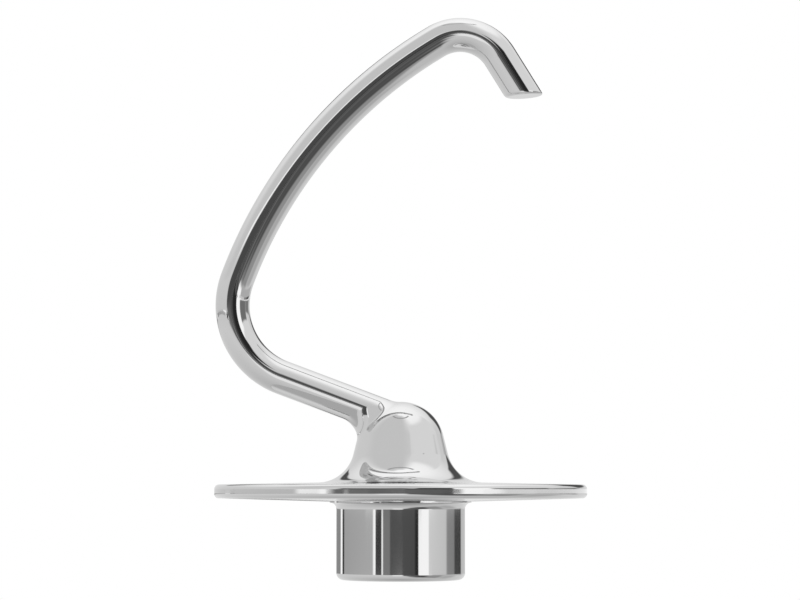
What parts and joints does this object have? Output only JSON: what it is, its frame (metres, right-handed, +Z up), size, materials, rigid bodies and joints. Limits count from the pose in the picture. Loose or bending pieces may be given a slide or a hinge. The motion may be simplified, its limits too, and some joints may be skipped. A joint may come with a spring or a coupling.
{
  "type": "dough hook",
  "caption": "C-shaped bar hook on a domed neck, with a round dough shield and a hub that takes a mixer's beater shaft.",
  "frame": {"origin": "centre of the hub's rim, on the shaft's axis", "axes": "+Z up the shaft's axis from the hub to the hook; the hook lies in the XZ plane and leaves the neck towards -X"},
  "size_m": [0.1, 0.1, 0.1522],
  "materials": {
    "polished_steel": "polished",
    "machined_steel": "satin"
  },
  "bodies": {
    "root": {"hook_arm": "polished_steel", "neck": "polished_steel", "dough_shield": "polished_steel", "hub_shell": "polished_steel", "drive_sleeve": "machined_steel"}
  },
  "joints": []
}
